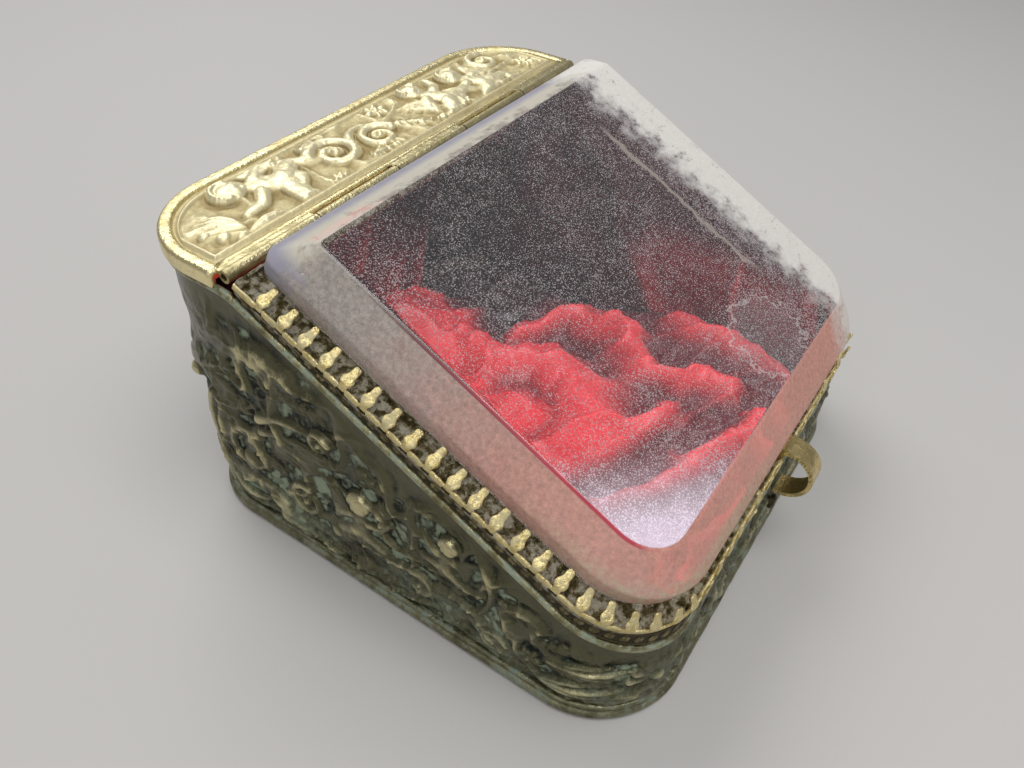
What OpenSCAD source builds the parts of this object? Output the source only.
// Slope-front brass jewel casket with a hinged lid of thick bevelled glass.
// A pressed brass wall is wrapped round a flat base. The back stands tall under a
// flat embossed top plate, and the side walls fall away to a low front. The lid is
// a brass frame that lies on the slope. A claw gallery stands on its edge and holds
// a slab of bevelled glass. Millimetres; origin at the centre of the underside;
// X is along the hinge, -Y is the low front and +Z is up.

/* [Case] */
// Width of the case, along the hinge
case_w = 100; // [80:1:120]
// Depth of the case, front to back
case_d = 100; // [90:1:120]
// Height of the wall under the top plate
back_h = 56.8; // [45:0.1:70]
// Height of the wall at the front
front_h = 17.2; // [14:0.1:19]
// Depth of the flat top plate, back to hinge
top_d = 23.6; // [18:0.1:30]
// Radius of the upright corners
corner_r = 16; // [10:0.5:18]
// Thickness of the brass wall
wall_t = 1.2; // [0.8:0.1:1.6]
// Radius of the bend where the wall turns down to the slope
bend_r = 9; // [4:0.5:14]
// How far the plain wall stands back from the beads
wall_inset = 0.8; // [0.4:0.1:1.2]

/* [Mouldings] */
// How far the foot moulding stands out past the case
foot_out = 0.9; // [0.4:0.1:1.6]
// Radius of the big bead of the foot moulding
foot_r = 1.1; // [0.8:0.1:1.4]
// Radius of the small bead above it
foot_small_r = 0.6; // [0.4:0.1:0.8]
// Radius of the rolled bead on the wall's top edge
bead_r = 0.75; // [0.5:0.05:1]

/* [Top plate] */
// Height of the top face over the base
top_z = 60.4; // [58:0.1:72]
// Thickness of the embossed plate
plate_t = 1.1; // [0.8:0.1:1.4]
// Width of the plain rim round the plate
rim_w = 2.4; // [1.6:0.1:3.2]
// How far the embossed field lies below the rim
field_drop = 0.5; // [0.2:0.1:0.8]

/* [Hinge] */
// Outer radius of the rolled hinge tube
tube_r = 1.1; // [0.9:0.05:1.3]
// Radius of the hinge pin
pin_r = 0.55; // [0.4:0.05:0.65]
// Radial clearance of the pin in the tube
pin_gap = 0.05; // [0.02:0.01:0.1]
// Gap between neighbouring knuckles
knuckle_gap = 0.25; // [0.15:0.05:0.5]
// How far the pin ends inside the open end of the tube
pin_set_back = 3; // [1:0.5:6]

/* [Lid frame] */
// Tilt of the lid below the horizontal when it is shut
lid_tilt = 26.2; // [24:0.1:28]
// Thickness of the frame's flange
flange_t = 0.8; // [0.6:0.1:1]
// Width of the flange, from the edge to its opening
flange_w = 5.4; // [4.5:0.1:7]
// Thickness of the frame's side skirt
skirt_t = 0.7; // [0.5:0.1:0.9]
// Gap between the skirt's lower edge and the bead that it closes on
skirt_gap = 0.2; // [0.1:0.05:0.4]

/* [Glass] */
// Width of the glass
glass_w = 94.2; // [90:0.2:94.2]
// Length of the glass, down the slope
glass_l = 80; // [74:0.5:80]
// Thickness of the glass at its flat face
glass_t = 8.2; // [6:0.1:9.4]
// Height of the upright edge below the bevel
glass_edge = 3.5; // [2:0.1:3.8]
// Width of the bevel at the sides and the back
bevel_w = 5.2; // [4:0.1:8]
// Width of the bevel at the front
bevel_front = 7.2; // [5:0.1:9]
// How far the glass lies off the frame's middle, where it is pressed against one side
glass_shift = 1.6; // [0:0.1:1.6]
// Small turn of the glass in its frame
glass_turn = 0.5; // [0:0.1:0.5]
// Height of the lip that the glass rests on
lip_h = 1.3; // [0.8:0.1:1.4]

/* [Claw gallery] */
// Radius of the lid's two front corners, in the plane of the lid
lid_corner_r = 17; // [12:0.5:18]
// Distance from one claw to the next
claw_pitch = 4.2; // [3.6:0.1:5]
// Width of a claw at its shoulders
claw_w = 2.3; // [1.8:0.1:2.8]
// Length of a claw's leaf, above the bend
claw_l = 3; // [2:0.1:3.2]
// Thickness of the gallery's sheet
claw_t = 0.4; // [0.3:0.05:0.4]
// How far the claws on the open side are bent down towards the glass
claw_lean = 70; // [30:1:72]
// How far the claws at the front are bent
claw_lean_front = 25; // [0:1:25]
// Height of the upright strip that carries the claws
strip_h = 1.5; // [1:0.1:1.8]

/* [Clasp] */
// Width of the clasp strap
strap_w = 4.6; // [3.6:0.1:6]
// Thickness of the clasp strap
strap_t = 0.8; // [0.6:0.1:1]
// Outer radius of the strap's hook
hook_r = 5.4; // [4.8:0.1:5.6]
// How far the clasp sits to the right of the middle
clasp_x = 4; // [0:0.5:6]
// Radius of the head of the stud below the hook
stud_r = 1.5; // [1:0.1:2]

/* [Lining] */
// Thickness of the padded silk on the walls
pad_t = 3; // [2:0.5:4]
// Thickness of the floor pad
floor_pad_t = 5; // [3:0.5:8]
// Thickness of the card under the floor pad
card_t = 1; // [0.6:0.1:1.6]

/* [Hidden] */
$fn = 96;

hinge_y = case_d / 2 - top_d;                     // where the flat top ends
slope = atan((back_h - front_h) / (case_d - top_d));
axis_z = top_z - 0.8;                             // height of the hinge axis
bore_r = pin_r + pin_gap;
base_t = 1.2;
leaf_t = 0.7;
plate_front = hinge_y + tube_r + 0.5;             // front edge of the top plate

// Lid coordinates: x along the hinge, -y down the slope from the hinge axis, z square
// to the lid. The flange lies just under the axis.
flange_top = 0.3;
lid_back = tube_r + 0.3;
lid_front = (case_d - top_d) / cos(lid_tilt) - 0.4;
lid_w = case_w - 0.8;
lid_len = lid_front - lid_back;
lid_back_r = 2;
glass_bottom = flange_top + lip_h;
glass_mid = 42.4;                                 // middle of the glass, down the slope

/* ---------- helpers ---------- */

// Points of an arc, from angle a0 to a1 in n steps
function arc(c, r, a0, a1, n) =
    [for (i = [0 : n]) let (a = a0 + (a1 - a0) * i / n) [c.x + r * cos(a), c.y + r * sin(a)]];

// Height of the wall's top edge over a place on the depth: flat, a bend, then the slope
bend_t = bend_r * tan(slope / 2);
bend_y0 = hinge_y - bend_t * cos(slope);
bend_y1 = hinge_y + bend_t;
function edge_z(y) =
    y >= bend_y1 ? back_h
    : y <= bend_y0 ? back_h - (hinge_y - y) * tan(slope)
    : back_h - bend_r + sqrt(bend_r * bend_r - pow(y - bend_y1, 2));

// Flat rounded rectangle with one radius at the front corners and one at the back
module plan(w, d, r_front, r_back) {
    translate([-w / 2, -d / 2 + r_front]) square([w, d - r_front - r_back]);
    translate([-w / 2 + r_front, -d / 2]) square([w - 2 * r_front, r_front + 0.01]);
    translate([-w / 2 + r_back, d / 2 - r_back - 0.01]) square([w - 2 * r_back, r_back + 0.01]);
    for (s = [-1, 1]) {
        translate([s * (w / 2 - r_front), -d / 2 + r_front]) circle(r_front);
        translate([s * (w / 2 - r_back), d / 2 - r_back]) circle(r_back);
    }
}

// The case's footprint, set in from its outline
module case_plan(inset) {
    plan(case_w - 2 * inset, case_d - 2 * inset, corner_r - inset, corner_r - inset);
}

// Everything below the wall's top edge, lifted square to the slope, as a prism along X
module under_edge(lift) {
    up = lift / cos(slope);
    reach = case_d / 2 + 10;
    rotate([90, 0, 90])
        linear_extrude(case_w + 20, center = true)
            polygon(concat(
                [[-reach, -10], [reach, -10], [reach, back_h + lift]],
                [for (p = arc([bend_y1, back_h - bend_r], bend_r, 90, 90 + slope, 6)) [p.x, p.y + lift]],
                [[-reach, edge_z(-reach) + up]]));
}

// Closed loop of points round the case, set in from its outline, with more points in
// the bend
function loop_plan(inset) =
    let (x = case_w / 2 - corner_r, y = case_d / 2 - corner_r, r = corner_r - inset,
         sides = [for (i = [0 : 4]) bend_y0 + (bend_y1 - bend_y0) * i / 4])
    concat(arc([x, -y], r, -90, 0, 8),
           [for (s = sides) [case_w / 2 - inset, s]],
           arc([x, y], r, 0, 90, 8),
           arc([-x, y], r, 90, 180, 8),
           [for (i = [4 : -1 : 0]) [-case_w / 2 + inset, sides[i]]],
           arc([-x, -y], r, 180, 270, 8));

// Sweep a closed section [outward, up] round a closed loop of 3-D points
module sweep_loop(path, section) {
    n = len(path);
    m = len(section);
    points = [
        for (i = [0 : n - 1])
            let (ahead = path[(i + 1) % n] - path[(i + n - 1) % n],
                 t = ahead / norm(ahead),
                 flat = [t.y, -t.x, 0],
                 out = flat / norm(flat),
                 up = cross(out, t))
            for (s = section) path[i] + s.x * out + s.y * up];
    faces = [
        for (i = [0 : n - 1]) for (j = [0 : m - 1])
            let (a = i * m, b = ((i + 1) % n) * m, k = (j + 1) % m)
            each [[a + j, b + j, b + k], [a + j, b + k, a + k]]];
    polyhedron(points, faces, convexity = 6);
}

// Put something that is drawn in lid coordinates in its place on the slope
module on_lid() {
    translate([0, hinge_y, axis_z]) rotate([lid_tilt, 0, 0]) children();
}

// The lid's outline, set in from its edge
module lid_plan(inset) {
    translate([0, -(lid_back + lid_front) / 2])
        plan(lid_w - 2 * inset, lid_len - 2 * inset, lid_corner_r - inset,
             max(lid_back_r - inset, 0.4));
}

/* ---------- case ---------- */

module base_plate() {
    color("darkgoldenrod")
        linear_extrude(base_t) case_plan(wall_inset + wall_t);
}

// Foot moulding: a big bead that stands on the table and a small one above it
module base_moulding() {
    seat = wall_inset - 0.08;
    section = concat(
        [[-seat, 0]],
        arc([foot_out - foot_r, foot_r], foot_r, -90, 62, 6),
        arc([foot_out - foot_r, 2 * foot_r + foot_small_r * 0.8], foot_small_r, -40, 90, 4),
        [[-seat, 2 * foot_r + foot_small_r * 1.8]]);
    color("olivedrab")
        sweep_loop([for (p = loop_plan(0)) [p.x, p.y, 0]], section);
}

// Pressed wall, one strip wrapped round, cut to the slope along its top edge
module body_wall() {
    color("darkolivegreen")
        intersection() {
            linear_extrude(back_h + 5)
                difference() {
                    case_plan(wall_inset);
                    case_plan(wall_inset + wall_t);
                }
            under_edge(-bead_r);
        }
}

// Edge of the wall rolled outward over a wire
module wall_bead() {
    color("darkseagreen")
        sweep_loop([for (p = loop_plan(bead_r)) [p.x, p.y, edge_z(p.y)]],
                   arc([0, 0], bead_r - 0.02, 0, 324, 9));
}

// Inner lip that stands up from the wall and locates the lid's skirt
module collar() {
    lip_t = 0.6;
    lip_up = 1.2;
    lip_down = 5;
    inner = wall_inset + wall_t;
    color("goldenrod")
        intersection() {
            linear_extrude(back_h + 5)
                difference() {
                    case_plan(inner);
                    case_plan(inner + lip_t);
                }
            difference() {
                under_edge(lip_up);
                under_edge(-lip_down);
            }
            translate([-case_w, -case_d, 0]) cube([2 * case_w, case_d + hinge_y - 2.5, 80]);
        }
}

/* ---------- lining ---------- */

lining_inset = wall_inset + wall_t + 0.8;
floor_z = base_t + card_t;
pad_clear = 0.4;

module card_floor() {
    color("burlywood")
        translate([0, 0, base_t]) linear_extrude(card_t) case_plan(wall_inset + wall_t + 0.2);
}

module floor_pad() {
    color("crimson")
        translate([0, 0, floor_z])
            linear_extrude(floor_pad_t) case_plan(lining_inset + pad_t + pad_clear);
}

// Padded panel on a side wall, between the round corners, cut to the slope
module side_pad() {
    len_y = case_d - 2 * corner_r + 4;
    intersection() {
        translate([case_w / 2 - lining_inset - pad_t, -len_y / 2, floor_z])
            cube([pad_t, len_y, back_h]);
        under_edge(-2.5);
    }
}

module lining_right() {
    color("crimson") side_pad();
}

module lining_left() {
    color("crimson") mirror([1, 0, 0]) side_pad();
}

module lining_front() {
    len_x = case_w - 2 * corner_r + 4;
    color("crimson")
        intersection() {
            translate([-len_x / 2, -case_d / 2 + lining_inset, floor_z])
                cube([len_x, pad_t, front_h]);
            under_edge(-2.5);
        }
}

module lining_back() {
    len_x = case_w - 2 * corner_r + 4;
    color("crimson")
        translate([-len_x / 2, case_d / 2 - lining_inset - pad_t, floor_z])
            cube([len_x, pad_t, back_h - floor_z - pad_t - 1]);
}

module lining_top() {
    len_x = case_w - 2 * corner_r + 8;
    top = top_z - field_drop - plate_t;
    color("crimson")
        translate([-len_x / 2, hinge_y + 3, top - pad_t])
            cube([len_x, top_d - lining_inset - 4, pad_t]);
}

/* ---------- top plate ---------- */

// Half of the case's footprint behind the hinge
module top_outline(inset, front) {
    intersection() {
        case_plan(inset);
        translate([-case_w, front]) square([2 * case_w, case_d]);
    }
}

module top_plate() {
    edge = -0.3 + rim_w;
    color("palegoldenrod")
        translate([0, 0, top_z - field_drop - plate_t])
            linear_extrude(plate_t) top_outline(edge, plate_front + 1.2);
}

// Plain rim round the plate with its side band, one pressed piece
module top_band() {
    band_t = 0.9;
    out = -0.3;
    foot_z = back_h + bead_r + 0.05;
    color("goldenrod") {
        translate([0, 0, top_z - field_drop - plate_t])
            linear_extrude(field_drop + plate_t)
                difference() {
                    top_outline(out, plate_front);
                    top_outline(out + rim_w, plate_front + 1.2);
                }
        translate([0, 0, foot_z])
            linear_extrude(top_z - field_drop - plate_t - foot_z)
                difference() {
                    top_outline(out, plate_front);
                    top_outline(out + band_t, plate_front - 10);
                }
    }
}

/* ---------- hinge ---------- */

// One knuckle of the rolled tube, from x0 to x1
module knuckle(x0, x1) {
    translate([x0, 0, 0]) rotate([0, 90, 0])
        difference() {
            cylinder(r = tube_r, h = x1 - x0);
            translate([0, 0, -1]) cylinder(r = bore_r, h = x1 - x0 + 2);
        }
}

knuckles = 5;
hinge_len = case_w - 2;
knuckle_len = hinge_len / knuckles;
function knuckle_x(i) = -hinge_len / 2 + i * knuckle_len;

// Every second knuckle belongs to the top plate, with a leaf that runs back to it
module hinge_knuckles_case() {
    color("goldenrod")
        translate([0, hinge_y, axis_z])
            for (i = [0 : 2 : knuckles - 1]) {
                x0 = knuckle_x(i) + (i == 0 ? 0 : knuckle_gap / 2);
                x1 = knuckle_x(i + 1) - (i == knuckles - 1 ? 0 : knuckle_gap / 2);
                difference() {
                    union() {
                        knuckle(x0, x1);
                        translate([x0, 0.4, 0.05]) cube([x1 - x0, plate_front - hinge_y - 0.4, leaf_t]);
                    }
                    translate([x0 - 1, 0, 0]) rotate([0, 90, 0]) cylinder(r = bore_r, h = x1 - x0 + 2);
                }
            }
}

// The others belong to the lid, with a leaf that runs down to its flange
module hinge_knuckles_lid() {
    color("goldenrod")
        on_lid()
            for (i = [1 : 2 : knuckles - 2]) {
                x0 = knuckle_x(i) + knuckle_gap / 2;
                x1 = knuckle_x(i + 1) - knuckle_gap / 2;
                difference() {
                    union() {
                        knuckle(x0, x1);
                        translate([x0, -lid_back, flange_top - leaf_t])
                            cube([x1 - x0, lid_back - 0.4, leaf_t]);
                    }
                    translate([x0 - 1, 0, 0]) rotate([0, 90, 0]) cylinder(r = bore_r, h = x1 - x0 + 2);
                }
            }
}

module hinge_pin() {
    color("dimgray")
        translate([-hinge_len / 2 + pin_set_back, hinge_y, axis_z])
            rotate([0, 90, 0]) cylinder(r = pin_r, h = hinge_len - 2 * pin_set_back);
}

/* ---------- lid ---------- */

// Flange with its opening, a lip round the opening that carries the glass, and an
// upright skirt that hangs down to the wall's bead
module lid_frame() {
    skirt_inset = 0.6;
    below = 80;
    color("goldenrod") {
        on_lid()
            translate([0, 0, flange_top - flange_t]) {
                linear_extrude(flange_t)
                    difference() {
                        lid_plan(0);
                        lid_plan(flange_w);
                    }
                linear_extrude(flange_t + lip_h)
                    difference() {
                        lid_plan(flange_w - 0.8);
                        lid_plan(flange_w);
                    }
            }
        difference() {
            intersection() {
                linear_extrude(back_h)
                    difference() {
                        case_plan(skirt_inset);
                        case_plan(skirt_inset + skirt_t);
                        translate([-case_w, hinge_y - 3]) square([2 * case_w, case_d]);
                    }
                on_lid()
                    translate([-case_w, -2 * case_d, flange_top - flange_t - below])
                        cube([2 * case_w, 2 * case_d, below]);
            }
            under_edge(bead_r + skirt_gap);
        }
    }
}

// Slab of glass with an upright edge and a wide bevel all round
module glass_panel() {
    r_edge = 15;
    r_flat = 8;
    r_back = 3;
    flat_w = glass_w - 2 * bevel_w;
    flat_l = glass_l - bevel_w - bevel_front;
    color([0.85, 0.85, 0.9, 0.4])
        on_lid()
            translate([glass_shift, -glass_mid, glass_bottom]) rotate([0, 0, -glass_turn]) {
                linear_extrude(glass_edge) plan(glass_w, glass_l, r_edge, r_back);
                translate([0, 0, glass_edge])
                    hull() {
                        linear_extrude(0.01)
                            plan(glass_w, glass_l, r_edge, r_back, $fn = 48);
                        translate([0, (bevel_front - bevel_w) / 2, glass_t - glass_edge - 0.01])
                            linear_extrude(0.01)
                                plan(flat_w, flat_l, r_flat, 1.2, $fn = 48);
                    }
            }
}

// One claw, standing on the flange: x along the edge, y inward, z up. The lower part
// is a waisted stem with shoulders, the upper part a pointed leaf that is bent inward.
module claw(lean) {
    fold = strip_h + 0.1;
    w = claw_w / 2;
    rotate([90, 0, 0]) mirror([0, 0, 1])
        linear_extrude(claw_t)
            polygon([[-w * 0.8, 0], [w * 0.8, 0], [w * 0.62, fold * 0.5], [w * 0.95, fold],
                     [-w * 0.95, fold], [-w * 0.62, fold * 0.5]]);
    translate([0, 0, fold]) rotate([-lean, 0, 0]) rotate([90, 0, 0]) mirror([0, 0, 1])
        linear_extrude(claw_t)
            polygon([[-w * 0.95, -0.1], [w * 0.95, -0.1], [w, claw_l * 0.28],
                     [w * 0.5, claw_l * 0.55], [w * 0.46, claw_l * 0.82],
                     [w * 0.2, claw_l], [-w * 0.2, claw_l], [-w * 0.46, claw_l * 0.82],
                     [-w * 0.5, claw_l * 0.55], [-w, claw_l * 0.28]]);
}

// Low round lobe between two claws
module lobe() {
    rotate([90, 0, 0]) mirror([0, 0, 1])
        linear_extrude(claw_t)
            intersection() {
                translate([0, strip_h - 0.35]) circle(0.7, $fn = 24);
                translate([-1, strip_h - 0.4]) square([2, 2]);
            }
}

// The gallery stands on a line set in a little from the lid's edge. It runs down the
// left side, round the two front corners and up the right side.
gallery_inset = 0;
side_len = lid_len - lid_corner_r;
bend_rad = lid_corner_r - gallery_inset;
quarter = bend_rad * PI / 2;
front_len = lid_w - 2 * lid_corner_r;
edge_x = lid_w / 2 - gallery_inset;
edge_y = lid_front - gallery_inset;

// Position and turn of the gallery at a distance s from the back left corner
function gallery_at(s) =
    s < side_len ? [-edge_x, -lid_back - s, -90]
    : s < side_len + quarter ?
        let (a = (s - side_len) / bend_rad * 180 / PI)
        [-edge_x + bend_rad - bend_rad * cos(a), -edge_y + bend_rad - bend_rad * sin(a), -90 + a]
    : s < side_len + quarter + front_len ?
        [-front_len / 2 + s - side_len - quarter, -edge_y, 0]
    : s < side_len + 2 * quarter + front_len ?
        let (a = (s - side_len - quarter - front_len) / bend_rad * 180 / PI)
        [edge_x - bend_rad + bend_rad * sin(a), -edge_y + bend_rad - bend_rad * cos(a), a]
    : [edge_x, -lid_back - side_len + (s - side_len - 2 * quarter - front_len), 90];

gallery_len = 2 * side_len + 2 * quarter + front_len;

// Bend of a claw at a distance s: full on the left side, where the glass stands off,
// less at the front, and none on the right side, where the glass lies against them
function lean_at(s) =
    s < side_len ? claw_lean
    : s < side_len + quarter ?
        claw_lean + (claw_lean_front - claw_lean) * (s - side_len) / quarter
    : s < side_len + quarter + front_len ? claw_lean_front
    : claw_lean_front * max(0, 1 - (s - side_len - quarter - front_len) / quarter);
claws = floor(gallery_len / claw_pitch) - 1;
function claw_s(i) = (gallery_len - (claws - 1) * claw_pitch) / 2 + i * claw_pitch;

// Two pieces of the gallery meet midway between two claws, on a straight
seam_side = claw_s(floor((side_len - claw_s(0)) / claw_pitch - 0.5)) + claw_pitch / 2;
seam_front = claw_s(ceil((side_len + quarter - claw_s(0)) / claw_pitch - 0.5)) + claw_pitch / 2;
seam_y = -lid_back - seam_side;
seam_x = front_len / 2 - (seam_front - side_len - quarter);

// Claws and lobes of the gallery between the distances s0 and s1, with none at the clasp
module claws_between(s0, s1) {
    for (i = [0 : claws - 1]) {
        s = claw_s(i);
        at_clasp = abs(s - gallery_len / 2 - clasp_x) < strap_w / 2 + claw_w / 2 + 0.2;
        if (s >= s0 && s < s1 && !at_clasp) {
            p = gallery_at(s);
            q = gallery_at(s + claw_pitch / 2);
            translate([p.x, p.y, flange_top]) rotate([0, 0, p.z]) claw(lean_at(s));
            if (s + claw_pitch < s1)
                translate([q.x, q.y, flange_top]) rotate([0, 0, q.z]) lobe();
        }
    }
}

// The upright strip, cut to the part of the edge that lies in a rectangle
module strip_in(x0, x1, y0, y1) {
    translate([0, 0, flange_top])
        linear_extrude(strip_h)
            intersection() {
                difference() {
                    lid_plan(gallery_inset);
                    lid_plan(gallery_inset + claw_t);
                }
                translate([x0, y0]) square([x1 - x0, y1 - y0]);
            }
}

strip_back = -lid_back - lid_back_r - 0.2;

module gallery_left() {
    color("khaki")
        on_lid() {
            strip_in(-case_w, 0, seam_y, strip_back);
            claws_between(0, seam_side);
        }
}

module gallery_right() {
    color("khaki")
        on_lid() {
            strip_in(0, case_w, seam_y, strip_back);
            claws_between(gallery_len - seam_side, gallery_len);
        }
}

module gallery_front() {
    color("khaki")
        on_lid() {
            strip_in(-seam_x, seam_x, -2 * case_d, seam_y);
            claws_between(seam_front, gallery_len - seam_front);
        }
}

module gallery_corner_left() {
    color("khaki")
        on_lid() {
            strip_in(-case_w, -seam_x, -2 * case_d, seam_y);
            claws_between(seam_side, seam_front);
        }
}

module gallery_corner_right() {
    color("khaki")
        on_lid() {
            strip_in(seam_x, case_w, -2 * case_d, seam_y);
            claws_between(gallery_len - seam_front, gallery_len - seam_side);
        }
}

// Low strip of lobes along the hinge side, under the overhanging edge of the glass
module gallery_back() {
    len_x = lid_w - 2 * lid_back_r - 2;
    low = lip_h - 0.2;
    n = floor(len_x / claw_pitch);
    color("khaki")
        on_lid()
            translate([0, -lid_back - 0.5, flange_top]) {
                translate([-len_x / 2, -claw_t, 0]) cube([len_x, claw_t, low - 0.5]);
                for (i = [0 : n - 1])
                    translate([(i - (n - 1) / 2) * claw_pitch, 0, 0])
                        rotate([90, 0, 0])
                            linear_extrude(claw_t)
                                intersection() {
                                    translate([0, low - 1]) circle(1, $fn = 24);
                                    translate([-1, 0]) square([2, 2]);
                                }
            }
}

/* ---------- clasp ---------- */

hook_y = -case_d / 2 - 1;
hook_z = axis_z - lid_front * sin(lid_tilt) - 2.2;

// Springy strap. Its root stands on the flange inside the gallery. It runs out over the
// gallery's strip and curls down to a hook in front of the wall.
module clasp_hook() {
    sweep_angle = 188;
    tongue = 1.8;
    root_t = 0.9;
    root_front = lid_front - gallery_inset - claw_t - 0.1;
    root_h = 3.1;
    color("gold")
        translate([clasp_x - strap_w / 2, 0, 0]) {
            translate([0, hook_y, hook_z])
                rotate([90, 0, 90]) {
                    rotate([0, 0, 90])
                        rotate_extrude(angle = sweep_angle)
                            translate([hook_r - strap_t, 0]) square([strap_t, strap_w]);
                    translate([0, hook_r - strap_t, 0]) cube([tongue, strap_t, strap_w]);
                }
            on_lid()
                translate([0, -root_front, flange_top])
                    cube([strap_w, root_t, root_h]);
        }
}

// Turned stud on the front wall, just below the hook
module clasp_stud() {
    neck_r = stud_r * 0.5;
    neck_l = 1.2;
    head_l = 1.1;
    stud_z = hook_z - hook_r - stud_r - 2.3;
    color("dimgray")
        translate([clasp_x - 1, -case_d / 2 + wall_inset, stud_z])
            rotate([90, 0, 0]) {
                cylinder(r = neck_r, h = neck_l + 0.1);
                translate([0, 0, neck_l]) cylinder(r = stud_r, h = head_l * 0.6);
                translate([0, 0, neck_l + head_l * 0.6])
                    cylinder(r1 = stud_r, r2 = stud_r * 0.7, h = head_l * 0.4);
            }
}

/* ---------- drawing ---------- */

base_plate();
base_moulding();
body_wall();
wall_bead();
collar();
card_floor();
floor_pad();
lining_left();
lining_right();
lining_front();
lining_back();
lining_top();
top_plate();
top_band();
hinge_knuckles_case();
hinge_pin();
clasp_stud();
hinge_knuckles_lid();
lid_frame();
gallery_left();
gallery_right();
gallery_front();
gallery_corner_left();
gallery_corner_right();
gallery_back();
glass_panel();
clasp_hook();
